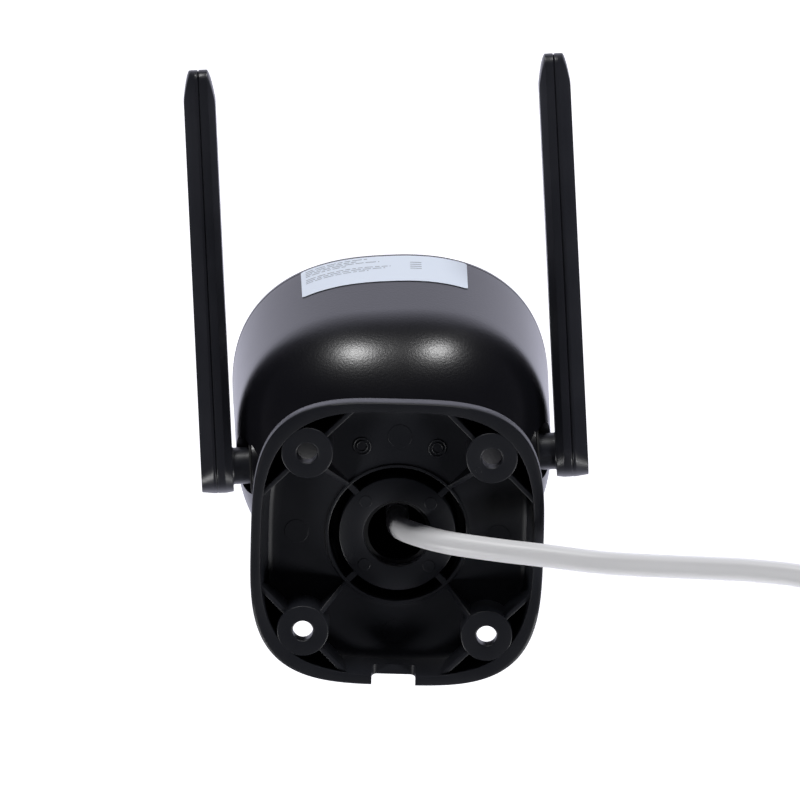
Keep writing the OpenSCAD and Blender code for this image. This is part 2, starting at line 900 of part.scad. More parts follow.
// Centreline of the main cable: out of the ball, sideways behind the base, then hanging
main_route = [
    [0, -24, 1], [0, -20, 0], [-1, -15, 0], [-5.5, -8, 0.3], [-10, -4.2, 0.2], [-15, -1.4, 0.1],
    [-25, 2.5, 0], [-34, 5.5, 0], [-48, 9, -0.4], [-60, 10, -0.6], [-72, 10, -0.8],
    [-86, 10, -1.2], [-99, 10, -2.8], [-111, 9.5, -8.5], [-119, 8.5, -18.5], [-122.4, 7.5, -31], [-123, 7, -50],
    [-123, 7, -75], [-123, 7, -100], [-123, 7, -125], [-123, 7, -150]
];
split_x = -123;
split_y = 7;
split_top = -150;
split_bottom = -181;
tail_side = 4.6;
network_route = [
    [split_x - tail_side, split_y, split_bottom], [split_x - tail_side - 0.6, split_y, -188],
    [split_x - tail_side - 2.4, split_y, -195], [split_x - tail_side - 4.4, split_y, -203],
    [split_x - tail_side - 5, split_y, -214]
];
power_route = [
    [split_x + tail_side, split_y, split_bottom], [split_x + tail_side + 0.6, split_y, -188],
    [split_x + tail_side + 2.4, split_y, -195], [split_x + tail_side + 4.4, split_y, -203],
    [split_x + tail_side + 5, split_y, -214]
];
network_x = split_x - tail_side - 5;
power_x = split_x + tail_side + 5;
socket_top = -214;

module main_cable() {
    color(cable_white) tube(main_route, cable_d, 10, [0, 0.2, 1]);
}

module network_tail() {
    color(cable_white) tube(smooth_route(network_route, 2), tail_d, 8, [0, 1, 0]);
}

module power_tail() {
    color(cable_white) tube(smooth_route(power_route, 2), tail_d, 8, [0, 1, 0]);
}

// Moulded block where the cable divides into its two tails
module cable_split() {
    body_top = split_top - 8;
    body_bottom = split_bottom + 5;
    body_r = 4.8;
    color(cable_white) translate([split_x, split_y, 0]) {
        for (x = [-1, 1]) translate([x * 4.6, 0, body_bottom]) cylinder(h = body_top - body_bottom, r = body_r);
        box([-4.6, -body_r, body_bottom], [4.6, body_r, body_top]);
        translate([0, 0, body_top]) cylinder(h = 8, r1 = 4.6, r2 = 3.4);
        for (x = [-1, 1]) translate([x * tail_side, 0, split_bottom]) cylinder(h = 5, r1 = 2.3, r2 = 3.2);
    }
}

// Network socket: a moulded body with a rectangular mouth at its lower end
module network_socket() {
    body_w = 16;
    body_d = 14;
    body_top = socket_top - 6;
    body_len = 30;
    color(cable_white) translate([network_x, split_y, 0]) difference() {
        union() {
            translate([0, 0, body_top]) cylinder(h = 6, r1 = 4.2, r2 = 2.4);
            box([-body_w / 2, -body_d / 2, body_top - body_len], [body_w / 2, body_d / 2, body_top]);
        }
        box([-6, -3.6, body_top - body_len - 1], [6, 3.6, body_top - body_len + 14]);
        box([-3.2, 3, body_top - body_len - 1], [3.2, 5, body_top - body_len + 9]);
    }
}

// The eight spring contacts inside the network socket
module network_contacts() {
    pitch = 1.02;
    contact_top = socket_top - 6 - 30 + 14;
    color("#d8b25a") translate([network_x, split_y, 0])
        for (k = [-3.5 : 3.5])
            box([k * pitch - 0.2, -3.4, contact_top - 9], [k * pitch + 0.2, -2.6, contact_top]);
}

// Round power socket with a bore for the plug
module power_socket() {
    body_top = socket_top - 6;
    body_len = 26;
    color("#26282c") translate([power_x, split_y, 0]) difference() {
        union() {
            translate([0, 0, body_top]) cylinder(h = 6, r1 = 3.6, r2 = 2.4);
            translate([0, 0, body_top - body_len]) cylinder(h = body_len, r = 5.5);
            translate([0, 0, body_top - body_len + 12]) cylinder(h = 10, r = 5.9);
        }
        translate([0, 0, body_top - body_len - 1]) cylinder(h = 11, r = 3.2);
    }
}

module power_contact() {
    body_top = socket_top - 6;
    color(steel) translate([power_x, split_y, body_top - 26 + 1]) cylinder(h = 9, r = 1);
}

base_plate();
socket_liner();
lock_ring();
ball_stud();
stud_nut();
rear_housing();
neck_seal();
front_ring();
front_panel();
panel_seal();
inner_frame();
frame_screws();
lens_cover_glass();
lens_barrel();
lens_glass();
lens_holder();
image_sensor();
sensor_board();
led_board();
white_leds();
infrared_leds();
led_lenses();
light_sensor();
microphone();
main_board();
board_screws();
shield_can();
wifi_module();
speaker();
memory_card_slot();
card_cover();
card_cover_seal();
card_cover_screws();
reset_button();
button_switch();
rating_label();
inner_cable();
cable_gland();
power_connector();
antenna_coax();
left_antenna_outer();
left_antenna_inner();
left_antenna_board();
left_antenna_clip();
left_antenna_seal();
right_antenna_outer();
right_antenna_inner();
right_antenna_board();
right_antenna_clip();
right_antenna_seal();
main_cable();
cable_split();
network_tail();
power_tail();
network_socket();
network_contacts();
power_socket();
power_contact();
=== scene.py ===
import bpy
import bmesh
import math
import numpy as np
from mathutils import Matrix, Vector


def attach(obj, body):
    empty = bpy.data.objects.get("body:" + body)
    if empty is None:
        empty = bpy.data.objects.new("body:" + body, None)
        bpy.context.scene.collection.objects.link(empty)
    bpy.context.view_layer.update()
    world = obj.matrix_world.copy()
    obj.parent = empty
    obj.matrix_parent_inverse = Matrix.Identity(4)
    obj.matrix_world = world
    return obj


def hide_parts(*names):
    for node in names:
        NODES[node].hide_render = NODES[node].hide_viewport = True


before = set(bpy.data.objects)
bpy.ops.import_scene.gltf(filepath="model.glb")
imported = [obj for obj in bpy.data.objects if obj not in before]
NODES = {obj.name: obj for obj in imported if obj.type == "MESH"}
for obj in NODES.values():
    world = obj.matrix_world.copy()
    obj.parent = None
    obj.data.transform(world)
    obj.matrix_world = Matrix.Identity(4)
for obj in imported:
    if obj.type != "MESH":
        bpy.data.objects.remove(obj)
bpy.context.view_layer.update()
MM = 0.001
rng = np.random.default_rng(7)


# ---- Camera ----

VIEW_DISTANCE = 2.0
VIEW_ELEVATION = math.radians(14.3)
VIEW_TWIST = math.radians(1.6)
VIEW_WIDTH = 0.1909
VIEW_SHIFT = (0.0007, 0.0346)


def add_camera():
    back = Vector((0, math.cos(VIEW_ELEVATION), math.sin(VIEW_ELEVATION)))
    right0 = Vector((-1, 0, 0))
    up0 = Vector((0, -math.sin(VIEW_ELEVATION), math.cos(VIEW_ELEVATION)))
    right = right0 * math.cos(VIEW_TWIST) + up0 * math.sin(VIEW_TWIST)
    up = up0 * math.cos(VIEW_TWIST) - right0 * math.sin(VIEW_TWIST)
    data = bpy.data.cameras.new("camera")
    data.sensor_width = 36
    data.lens = 36 * VIEW_DISTANCE / VIEW_WIDTH
    data.clip_start = 0.05
    data.clip_end = 60
    camera = bpy.data.objects.new("camera", data)
    bpy.context.scene.collection.objects.link(camera)
    turn = Matrix((right, up, back)).transposed()
    camera.matrix_world = Matrix.Translation(
        back * VIEW_DISTANCE + right * VIEW_SHIFT[0] + up * VIEW_SHIFT[1]
    ) @ turn.to_4x4()
    bpy.context.scene.camera = camera


add_camera()


# ---- Mesh tools: lengths in mm ----

BALL = Matrix.Translation((0, -20, 0))
HEAD = (
    BALL @ Matrix.Rotation(math.radians(2.1), 4, "Z") @ Matrix.Rotation(math.radians(-11.5), 4, "X")
    @ Matrix.Rotation(math.radians(4.2), 4, "Y")
)
SEAT_X, SEAT_R, PIVOT_S, FRONT_Y = 34.8, 7.1, 39.7, -75
ANTENNA_X, ANTENNA_LEAN = 43.45, 25.6
SIDE_NAMES = ((1, "left"), (-1, "right"))


def antenna_matrix(side):
    """From an antenna's own frame, with its pivot at the origin, to the frame of the part."""
    pivot = Matrix.Translation((ANTENNA_X, FRONT_Y + PIVOT_S, 0))
    lean = Matrix.Rotation(math.radians(ANTENNA_LEAN), 4, "X")
    return HEAD @ Matrix.Diagonal((side, 1, 1, 1)) @ pivot @ lean


def add_piece(name, verts, faces, body, place=None, sharp=30):
    """A mesh from points in mm, put in place by a matrix in mm, riding on a body."""
    pts = np.asarray(verts, float)
    flip = False
    if place is not None:
        m = np.array(place, float)
        pts = pts @ m[:3, :3].T + m[:3, 3]
        flip = np.linalg.det(m[:3, :3]) < 0
    mesh = bpy.data.meshes.new(name)
    turned_faces = [tuple(f[::-1]) if flip else tuple(f) for f in faces]
    mesh.from_pydata([tuple(p * MM) for p in pts], [], turned_faces)
    mesh.validate()
    obj = bpy.data.objects.new(name, mesh)
    bpy.context.scene.collection.objects.link(obj)
    clean_normals(obj)
    smooth(obj, sharp)
    if body:
        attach(obj, body)
    return obj


def clean_normals(obj):
    bm = bmesh.new()
    bm.from_mesh(obj.data)
    bmesh.ops.remove_doubles(bm, verts=bm.verts, dist=1e-8)
    bmesh.ops.recalc_face_normals(bm, faces=bm.faces)
    bm.to_mesh(obj.data)
    bm.free()


def smooth(obj, sharp=30):
    obj.data.shade_smooth()
    obj.data.set_sharp_from_angle(angle=math.radians(sharp))


def grid_faces(rows, columns, wrap_rows):
    faces = []
    for j in range(rows if wrap_rows else rows - 1):
        for i in range(columns):
            a, b = j * columns + i, j * columns + (i + 1) % columns
            c = (j + 1) % rows * columns
            faces.append((a, b, c + (i + 1) % columns, c + i))
    return faces


def circle_y(r, y, sides):
    t = np.arange(sides) * 2 * math.pi / sides
    return np.stack([r * np.cos(t), np.full(sides, y), r * np.sin(t)], 1)


def square_y(r, n, y, sides):
    t = np.arange(sides) * 2 * math.pi / sides
    k = r / (np.abs(np.cos(t)) ** n + np.abs(np.sin(t)) ** n) ** (1 / n)
    return np.stack([k * np.cos(t), np.full(sides, y), k * np.sin(t)], 1)


def rounded(points, sizes, steps=4):
    """A profile with its corners rounded by the given sizes, one per point, 0 for none."""
    out, count = [], len(points)
    pts = [np.array(p, float) for p in points]
    for i, p in enumerate(pts):
        size = sizes[i] if hasattr(sizes, "__len__") else sizes
        a, b = pts[i - 1], pts[(i + 1) % count]
        da, db = np.linalg.norm(a - p), np.linalg.norm(b - p)
        size = min(size, 0.45 * da, 0.45 * db)
        if size <= 0:
            out.append(p)
            continue
        u, v = p + (a - p) / da * size, p + (b - p) / db * size
        for k in range(steps + 1):
            t = k / steps
            out.append((1 - t) ** 2 * u + 2 * t * (1 - t) * p + t * t * v)
    return out


def joined(name, parts, body, place=None, sharp=30):
    """One piece from several (verts, faces)."""
    verts, faces, base = [], [], 0
    for v, f in parts:
        verts.append(np.asarray(v, float))
        faces += [tuple(i + base for i in face) for face in f]
        base += len(v)
    return add_piece(name, np.vstack(verts), faces, body, place, sharp)


def moved(part, matrix):
    v, f = part
    m = np.array(matrix, float)
    return np.asarray(v, float) @ m[:3, :3].T + m[:3, 3], f


def loft_part(rings, loop=False):
    """(verts, faces) of the skin through the rings, closed by end caps or, with loop, on itself."""
    rings = [np.asarray(r, float) for r in rings]
    count = len(rings[0])
    faces = grid_faces(len(rings), count, loop)
    if not loop:
        faces.append(tuple(range(count))[::-1])
        faces.append(tuple(range((len(rings) - 1) * count, len(rings) * count)))
    return np.vstack(rings), faces


def turned_part(profile, sides=48):
    """A closed profile of [radius, y] points turned about the Y axis."""
    return loft_part([circle_y(max(r, 0.0001), y, sides) for r, y in profile], loop=True)


def box_part(low, high, edge=0.15):
    """A box with chamfered edges, as a loft of rounded rectangles along Y."""
    (x0, y0, z0), (x1, y1, z1) = low, high
    edge = min(edge, (x1 - x0) * 0.4, (z1 - z0) * 0.4, (y1 - y0) * 0.4)

    def ring(y, d):
        a, b, e, f = x0 + d, x1 - d, z0 + d, z1 - d
        return [
            (a + edge, y, e), (b - edge, y, e), (b, y, e + edge), (b, y, f - edge),
            (b - edge, y, f), (a + edge, y, f), (a, y, f - edge), (a, y, e + edge),
        ]
    levels = ((y0, edge * 0.6), (y0 + edge, 0), (y1 - edge, 0), (y1, edge * 0.6))
    return loft_part([ring(y, d) for y, d in levels])


def boolean(obj, cutters, operation="DIFFERENCE", sharp=30):
    for c in cutters:
        m = obj.modifiers.new("cut", "BOOLEAN")
        m.operation, m.object, m.solver = operation, c, "EXACT"
    bpy.context.view_layer.update()
    graph = bpy.context.evaluated_depsgraph_get()
    made = bpy.data.meshes.new_from_object(obj.evaluated_get(graph))
    obj.modifiers.clear()
    obj.data = made
    for c in cutters:
        bpy.data.objects.remove(c)
    smooth(obj, sharp)
    return obj


def rod_part(r, y0, y1, sides=64):
    return loft_part([circle_y(r, y0, sides), circle_y(r, y1, sides)])


# Quarter turns that lay the Y axis along +X, -X and +Z
TURN_X = Matrix.Rotation(math.radians(-90), 4, "Z")
TURN_BACK_X = Matrix.Rotation(math.radians(90), 4, "Z")
TURN_Z = Matrix.Rotation(math.radians(90), 4, "X")


def outward(side):
    """The quarter turn that lays the Y axis along the given side of the X axis."""
    return TURN_X if side > 0 else TURN_BACK_X


def at(x, y, z):
    return Matrix.Translation((x, y, z))


# ---- Materials ----

def nodes_of(name):
    m = bpy.data.materials.new(name)
    m.use_nodes = True
    return m, m.node_tree, m.node_tree.nodes["Principled BSDF"]


def noise(tree, coords, scale, detail=3, roughness=0.55):
    n = tree.nodes.new("ShaderNodeTexNoise")
    n.inputs["Scale"].default_value = scale
    n.inputs["Detail"].default_value = detail
    n.inputs["Roughness"].default_value = roughness
    tree.links.new(coords.outputs["Object"], n.inputs["Vector"])
    return n


def ramp(tree, source, low, high, a, b):
    r = tree.nodes.new("ShaderNodeMapRange")
    r.inputs["From Min"].default_value, r.inputs["From Max"].default_value = low, high
    r.inputs["To Min"].default_value, r.inputs["To Max"].default_value = a, b
    tree.links.new(source, r.inputs["Value"])
    return r.outputs["Result"]


def mix_colour(tree, factor, a, b):
    m = tree.nodes.new("ShaderNodeMix")
    m.data_type = "RGBA"
    tree.links.new(factor, m.inputs["Factor"])
    m.inputs["A"].default_value = (*a, 1)
    m.inputs["B"].default_value = (*b, 1)
    return m.outputs["Result"]


def plastic(name, dark, light, rough, spread=0.06, grain=2500, bump=0.12, metal=0.0, specular=0.5):
    """A moulded surface: mottled colour, uneven roughness and a fine grain."""
    m, tree, bsdf = nodes_of(name)
    coords = tree.nodes.new("ShaderNodeTexCoord")
    wide = noise(tree, coords, 55, 4)
    fine = noise(tree, coords, grain, 2, 0.6)
    tree.links.new(mix_colour(tree, wide.outputs["Fac"], dark, light), bsdf.inputs["Base Color"])
    uneven = ramp(tree, wide.outputs["Fac"], 0.3, 0.7, rough - spread, rough + spread)
    tree.links.new(uneven, bsdf.inputs["Roughness"])
    b = tree.nodes.new("ShaderNodeBump")
    b.inputs["Strength"].default_value = bump
    b.inputs["Distance"].default_value = 0.0001
    tree.links.new(fine.outputs["Fac"], b.inputs["Height"])
    tree.links.new(b.outputs["Normal"], bsdf.inputs["Normal"])
    bsdf.inputs["Metallic"].default_value = metal
    bsdf.inputs["Specular IOR Level"].default_value = specular
    return m


HEAD_BLACK = plastic(
    "head_black", (0.004, 0.004, 0.006), (0.008, 0.008, 0.011), 0.29, 0.012, 1700, 0.3, specular=0.6
)
BASE_BLACK = plastic(
    "base_black", (0.008, 0.009, 0.013), (0.014, 0.015, 0.020), 0.44, 0.05, 1500, 0.16, specular=0.4
)
ANTENNA_BLACK = plastic(
    "antenna_black", (0.014, 0.015, 0.020), (0.022, 0.023, 0.030), 0.36, 0.05, 2200, 0.14, specular=0.5
)
INNER_BLACK = plastic("inner_black", (0.02, 0.021, 0.023), (0.032, 0.033, 0.036), 0.5, 0.05)
GLOSS_BLACK = plastic(
    "gloss_black", (0.006, 0.006, 0.008), (0.009, 0.009, 0.011), 0.08, 0.02, 900, 0.01
)
RUBBER = plastic("rubber", (0.010, 0.010, 0.011), (0.017, 0.017, 0.018), 0.72, 0.06, 1200, 0.3)
CABLE_WHITE = plastic(
    "cable_white", (0.90, 0.90, 0.92), (0.94, 0.94, 0.96), 0.38, 0.05, 1400, 0.08
)
BLACK_CABLE = plastic("black_cable", (0.02, 0.02, 0.022), (0.03, 0.03, 0.033), 0.4, 0.05)
STEEL = plastic(
    "steel", (0.55, 0.56, 0.58), (0.66, 0.67, 0.69), 0.28, 0.08, 1600, 0.06, metal=1.0
)
GOLD = plastic("gold", (0.78, 0.56, 0.22), (0.88, 0.66, 0.3), 0.25, 0.05, 1600, 0.04, metal=1.0)
BOARD = plastic("board", (0.012, 0.09, 0.045), (0.02, 0.13, 0.06), 0.4, 0.08, 700, 0.3)
CHIP = plastic("chip", (0.6, 0.55, 0.3), (0.75, 0.7, 0.42), 0.35, 0.05)
LABEL = plastic("label", (0.74, 0.82, 0.92), (0.80, 0.87, 0.95), 0.35, 0.04, 1600, 0.04)
PRINT = plastic("print", (0.28, 0.31, 0.36), (0.36, 0.39, 0.44), 0.4, 0.04)


def glass(name, tint, rough, transmission):
    m, tree, bsdf = nodes_of(name)
    coords = tree.nodes.new("ShaderNodeTexCoord")
    wide = noise(tree, coords, 90, 3)
    darker = tuple(c * 0.96 for c in tint)
    tree.links.new(mix_colour(tree, wide.outputs["Fac"], tint, darker), bsdf.inputs["Base Color"])
    bsdf.inputs["Roughness"].default_value = rough
    bsdf.inputs["Transmission Weight"].default_value = transmission
    bsdf.inputs["IOR"].default_value = 1.5
    return m


LENS_GLASS = glass("lens_glass", (0.75, 0.82, 0.95), 0.03, 0.9)
CLEAR = glass("clear_plastic", (0.95, 0.96, 0.97), 0.06, 0.9)


def paint(obj, material):
    obj.data.materials.clear()
    obj.data.materials.append(material)
    return obj


# ---- Cable tail ----

MAIN_ROUTE = [
    (0, -24, 1), (0, -20, 0), (-1, -15, 0), (-5.5, -8, 0.3), (-10, -4.2, 0.2), (-15, -1.4, 0.1),
    (-25, 2.5, 0), (-34, 5.5, 0), (-48, 9, -0.4), (-60, 10, -0.6), (-72, 10, -0.8),
    (-86, 10, -1.2), (-99, 10, -2.8), (-111, 9.5, -8.5), (-119, 8.5, -18.5),
    (-122.4, 7.5, -31), (-123, 7, -50),
    (-123, 7, -75), (-123, 7, -100), (-123, 7, -125), (-123, 7, -150),
]
SPLIT_X, SPLIT_Y, TAIL_SIDE, TAIL_SPREAD = -123, 7, 4.6, 5
CABLE_D, TAIL_D = 5.6, 3.6
SOCKET_TOP = -214


def tail_route(side):
    x = SPLIT_X + side * TAIL_SIDE
    bends = ((0, -181), (0.6, -188), (2.4, -195), (4.4, -203), (TAIL_SPREAD, SOCKET_TOP))
    return [(x + side * out, SPLIT_Y, z) for out, z in bends]


def curved(points, steps):
    """The points of a smooth line through the route's points."""
    p = np.array(points, float)
    out = []
    for i in range(len(p) - 1):
        a, b, c, d = p[max(i - 1, 0)], p[i], p[i + 1], p[min(i + 2, len(p) - 1)]
        for k in range(steps):
            t = k / steps
            square, cube = 2 * a - 5 * b + 4 * c - d, 3 * b - a - 3 * c + d
            out.append(0.5 * (2 * b + (c - a) * t + square * t ** 2 + cube * t ** 3))
    return np.array(out + [p[-1]])


def swept_part(line, radius, sides):
    """A round bar along a line, with its rings turned as little as possible."""
    line = np.asarray(line, float)
    heading = np.gradient(line, axis=0)
    heading /= np.linalg.norm(heading, axis=1)[:, None]
    across = np.cross(heading[0], (0, 0.2, 1))
    across /= np.linalg.norm(across)
    rings = []
    t = np.arange(sides) * 2 * math.pi / sides
    for p, d in zip(line, heading):
        across = across - d * (across @ d)
        across /= np.linalg.norm(across)
        other = np.cross(d, across)
        rings.append(p + radius * (np.outer(np.cos(t), across) + np.outer(np.sin(t), other)))
    return loft_part(rings)


main_line = curved(MAIN_ROUTE, 6)
main_cable = joined("cable", [swept_part(main_line, CABLE_D / 2, 32)], "base", sharp=60)
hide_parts("main_cable")
network_line, power_line = curved(tail_route(-1), 8), curved(tail_route(1), 8)
network_tail = joined("network_lead", [swept_part(network_line, TAIL_D / 2, 24)], "base", sharp=60)
power_tail = joined("power_lead", [swept_part(power_line, TAIL_D / 2, 24)], "base", sharp=60)
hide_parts("network_tail")
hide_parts("power_tail")
for o in (main_cable, network_tail, power_tail):
    paint(o, CABLE_WHITE)


def add_splitter():
    """The block where the cable divides, with three grip rings and a neck for each tail."""
    parts, rings = [], []
    t = np.arange(64) * 2 * math.pi / 64
    levels = [
        (-150.2, 0, 3.1), (-150.6, 0, 3.4), (-156.5, 0, 4.2), (-158.2, 1.6, 4.7),
        (-160.5, 4.2, 4.8), (-172.5, 4.6, 4.8), (-174.6, 4.6, 4.4), (-175.6, 4.6, 3.6),
    ]
    for z, half, r in levels:
        x = np.where(np.cos(t) >= 0, half, -half) + r * np.cos(t)
        rings.append(np.stack([SPLIT_X + x, SPLIT_Y + r * np.sin(t), np.full(64, z)], 1))
    parts.append(loft_part(rings))
    for side in (-1, 1):
        x = SPLIT_X + side * TAIL_SIDE
        neck = [
            (3.1, -175.3), (2.9, -178), (2.5, -180.6), (2.2, -180.9), (0.3, -180.9), (0.3, -175.3),
        ]
        parts.append(moved(turned_part(neck, 40), at(x, SPLIT_Y, 0) @ TURN_Z))
    for k in range(3):
        r, z = 4.0 + k * 0.2, -152.2 - k * 1.6
        ring = [
            (r, z), (r + 0.25, z - 0.3), (r + 0.25, z - 0.8), (r, z - 1.1), (3.0, z - 1), (3.0, z - 0.1),
        ]
        parts.append(moved(turned_part(ring, 40), at(SPLIT_X, SPLIT_Y, 0) @ TURN_Z))
    o = joined("splitter", parts, "base")
    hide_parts("cable_split")
    return paint(o, CABLE_WHITE)


splitter = add_splitter()


NETWORK_X = SPLIT_X - TAIL_SIDE - TAIL_SPREAD
POWER_X = SPLIT_X + TAIL_SIDE + TAIL_SPREAD


NETWORK_LOW, NETWORK_TOP = -250, -220
POWER_LOW = -246


def add_network_socket():
    """A flat shell with an open mouth below, a latch slot and a tapered strain relief above."""
    low, top = NETWORK_LOW, NETWORK_TOP

    def ring(half_w, half_d, corner, z, per=8):
        pts = []
        for cx, cy, start in ((1, 1, 0), (-1, 1, 90), (-1, -1, 180), (1, -1, 270)):
            for k in range(per + 1):
                a = math.radians(start + 90 * k / per)
                x = NETWORK_X + cx * (half_w - corner) + corner * math.cos(a)
                y = SPLIT_Y + cy * (half_d - corner) + corner * math.sin(a)
                pts.append((x, y, z))
        return pts
    levels = [
        (5.9, 3.5, 0.3, low + 14), (5.9, 3.5, 0.3, low + 0.4), (6.2, 3.8, 0.4, low),
        (7.6, 6.6, 1.2, low), (8, 7, 1.4, low + 0.4), (8, 7, 1.4, low + 7),
        (7.7, 6.7, 1.3, low + 7.4), (7.7, 6.7, 1.3, low + 8.2), (8, 7, 1.4, low + 8.6),
        (8, 7, 1.6, top - 1.2), (7.4, 6.4, 2.2, top - 0.3), (4.6, 4.6, 3.4, top),
        (4.1, 4.1, 4.05, top + 1), (3.1, 3.1, 3.05, top + 4.4), (2.3, 2.3, 2.28, top + 5.8),
        (1.9, 1.9, 1.88, top + 6),
    ]
    o = joined("network_connector", [loft_part([ring(*v) for v in levels])], "base")
    slot_low = (NETWORK_X - 3.2, SPLIT_Y + 3, low - 1)
    slot_high = (NETWORK_X + 3.2, SPLIT_Y + 5, low + 9)
    boolean(o, [joined("slot_cutter", [box_part(slot_low, slot_high, 0.1)], None)])
    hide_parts("network_socket")
    return paint(o, CABLE_WHITE)


def add_network_contacts():
    parts = []
    for k in range(8):
        x = NETWORK_X + (k - 3.5) * 1.02
        bends = ((3.2, -236.2), (2.7, -240), (1.6, -243.6), (1.2, -244.2), (1.5, -244.8))
        line = [(x, SPLIT_Y - deep, z) for deep, z in bends]
        parts.append(swept_part(curved(line, 4), 0.22, 10))
    o = joined("network_pins", parts, "base")
    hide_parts("network_contacts")
    return paint(o, GOLD)


def add_power_socket():
    """A round socket with a ribbed grip, and the pin inside it."""
    low = POWER_LOW
    profile = [
        (3.2, low + 10), (3.2, low + 0.4), (3.5, low), (5.1, low),
        (5.5, low + 0.4), (5.5, low + 11.6), (5.9, low + 12),
    ]
    for k in range(5):
        z = low + 12.4 + k * 1.9
        profile += [(5.9, z), (5.9, z + 1.1), (5.55, z + 1.3), (5.55, z + 1.7)]
    profile += [
        (5.9, low + 21.9), (5.5, low + 22.3), (5.5, low + 25.4), (5.0, low + 26), (3.6, low + 26.1),
        (3.4, low + 27.4), (2.5, low + 31.6), (2.1, low + 32), (0.4, low + 32), (0.4, low + 10),
    ]
    place = at(POWER_X, SPLIT_Y, 0) @ TURN_Z
    o = joined("power_connector_end", [moved(turned_part(profile, 64), place)], "base")
    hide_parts("power_socket")
    pin_profile = [
        (0.9, low + 1.1), (1, low + 1.4), (1, low + 10), (0.1, low + 10), (0.1, low + 1.1),
    ]
    pin = joined("power_pin", [moved(turned_part(pin_profile, 32), place)], "base")
    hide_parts("power_contact")
    return paint(o, BLACK_CABLE), paint(pin, STEEL)


network_connector = add_network_socket()
network_pins = add_network_contacts()
power_end, power_pin = add_power_socket()


# ---- Wall base ----

BASE_HALF, BASE_N, BASE_STRAIGHT, SHOULDER = 35, 3.45, 2.8, 10
FLOOR_Y, POCKET_HALF, POCKET_FLOOR_HALF, POCKET_N = -10, 32.6, 30.7, 3.1
BOSS = 22
CORNERS = [(x, z) for x in (-BOSS, BOSS) for z in (-BOSS, BOSS)]
RIB_HALF, RIB_ROOT = 0.55, -10.6
SIDES = 288


def shoulder_half(depth):
    d = max(0, depth - BASE_STRAIGHT)
    return BASE_HALF - (SHOULDER - math.sqrt(SHOULDER ** 2 - d * d))


def pocket_half(depth):
    k = max(0, depth) / -FLOOR_Y
    return POCKET_HALF - (POCKET_HALF - POCKET_FLOOR_HALF) * k * k


def add_base_shell():
    rings = []

    def add(r, y, n):
        rings.append(square_y(r, n, y, SIDES))
    # Socket bore, collar and front
    collar = (
        (12.2, -12.3), (12.2, -23.6), (12.6, -24), (18.1, -24),
        (18.5, -23.6), (18.5, -12.9), (18.9, -12.2), (19.6, -12),
    )
    for r, y in collar:
        add(r, y, 2)
    last = shoulder_half(12)
    for k in range(1, 6):
        add(19.6 + (last - 0.5 - 19.6) * k / 5, -12, 2 + (BASE_N - 2) * min(1, k / 4))
    add(last - 0.1, -11.95, BASE_N)
    for k in range(0, 19):
        depth = 11.85 - (11.85 - BASE_STRAIGHT) * k / 18
        add(shoulder_half(depth), -depth, BASE_N)
    # Rounded rim on the wall, outside and inside
    for inset, y in ((0, -1.6), (0, -0.75), (0.12, -0.3), (0.4, -0.06), (0.75, 0)):
        add(BASE_HALF - inset, y, BASE_N)
    for out, y in ((0.25, 0), (0.07, -0.07), (0, -0.25)):
        add(POCKET_HALF + out, y, POCKET_N)
    # Pocket wall and floor
    for k in range(1, 10):
        depth = 0.25 + 9.2 * k / 9
        add(pocket_half(depth), -depth, POCKET_N)
    add(POCKET_FLOOR_HALF - 0.4, -9.86, POCKET_N)
    add(POCKET_FLOOR_HALF - 1.0, FLOOR_Y, POCKET_N)
    for k in range(1, 7):
        t = k / 6
        half = POCKET_FLOOR_HALF - 1 + (18.6 - POCKET_FLOOR_HALF + 1) * t
        add(half, FLOOR_Y, POCKET_N + (2 - POCKET_N) * t)
    # Ring groove about the socket, and the socket's back with its cable hole
    middle = (
        (17.6, FLOOR_Y), (17.4, -9.95), (17.3, -9.75), (17.15, -9.65), (16.7, -9.65), (16.55, -9.75),
        (16.5, -10), (16.5, -19.5), (16, -20), (14.5, -20), (14, -19.5), (14, -10.3), (13.9, -10.1),
        (13.7, FLOOR_Y), (8.5, FLOOR_Y), (8.2, -10.1), (8.05, -10.4), (8, -12.3),
    )
    for r, y in middle:
        add(r, y, 2)
    shell = joined("base_shell", [loft_part(rings, loop=True)], None)
    boss_hole = rod_part(4.75, -14, -8)
    cutters = [joined("cutter", [moved(boss_hole, at(x, 0, z))], None) for x, z in CORNERS]
    cutters.append(joined("cutter", [notch_part()], None))
    boolean(shell, cutters)
    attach(shell, "base")
    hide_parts("base_plate")
    return paint(shell, BASE_BLACK)


def notch_part():
    """The cable notch in the base's lower edge."""
    half, deep, corner = 5.25, -7, 1.2
    outline = [(-half - 0.5, 1.2), (-half, 0.2), (-half, deep + corner)]
    for k in range(1, 6):
        a = math.radians(180 + 90 * k / 5)
        outline.append((-half + corner + corner * math.cos(a), deep + corner + corner * math.sin(a)))
    outline += [(-x, y) for x, y in outline[::-1]]
    return loft_part([[(x, y, z) for x, y in outline] for z in (-38, -30.6)])


def add_bosses():
    parts = []
    profile = rounded(
        [(6.25, -10.4), (6.2, -0.05), (2.45, -0.05), (2.45, -4), (4.78, -4), (4.78, -10.4)],
        [0, 0.35, 0.45, 0.1, 0, 0],
    )
    for x, z in CORNERS:
        parts.append(moved(turned_part(profile, 80), at(x, 0, z)))
    return paint(joined("base_bosses", parts, "base"), BASE_BLACK)


def rib_profile(points, half):
    """A thin wall whose outline (u, y) is given, with its upper edges softened."""
    e = 0.15
    inner = np.array(points, float)
    centre = inner.mean(0)
    shrunk = inner + (centre - inner) / np.linalg.norm(centre - inner, axis=1)[:, None] * e
    rings = []
    for w, ring in ((-half, shrunk), (-half + e, inner), (half - e, inner), (half, shrunk)):
        rings.append([(u, y, w) for u, y in ring])
    return loft_part(rings)


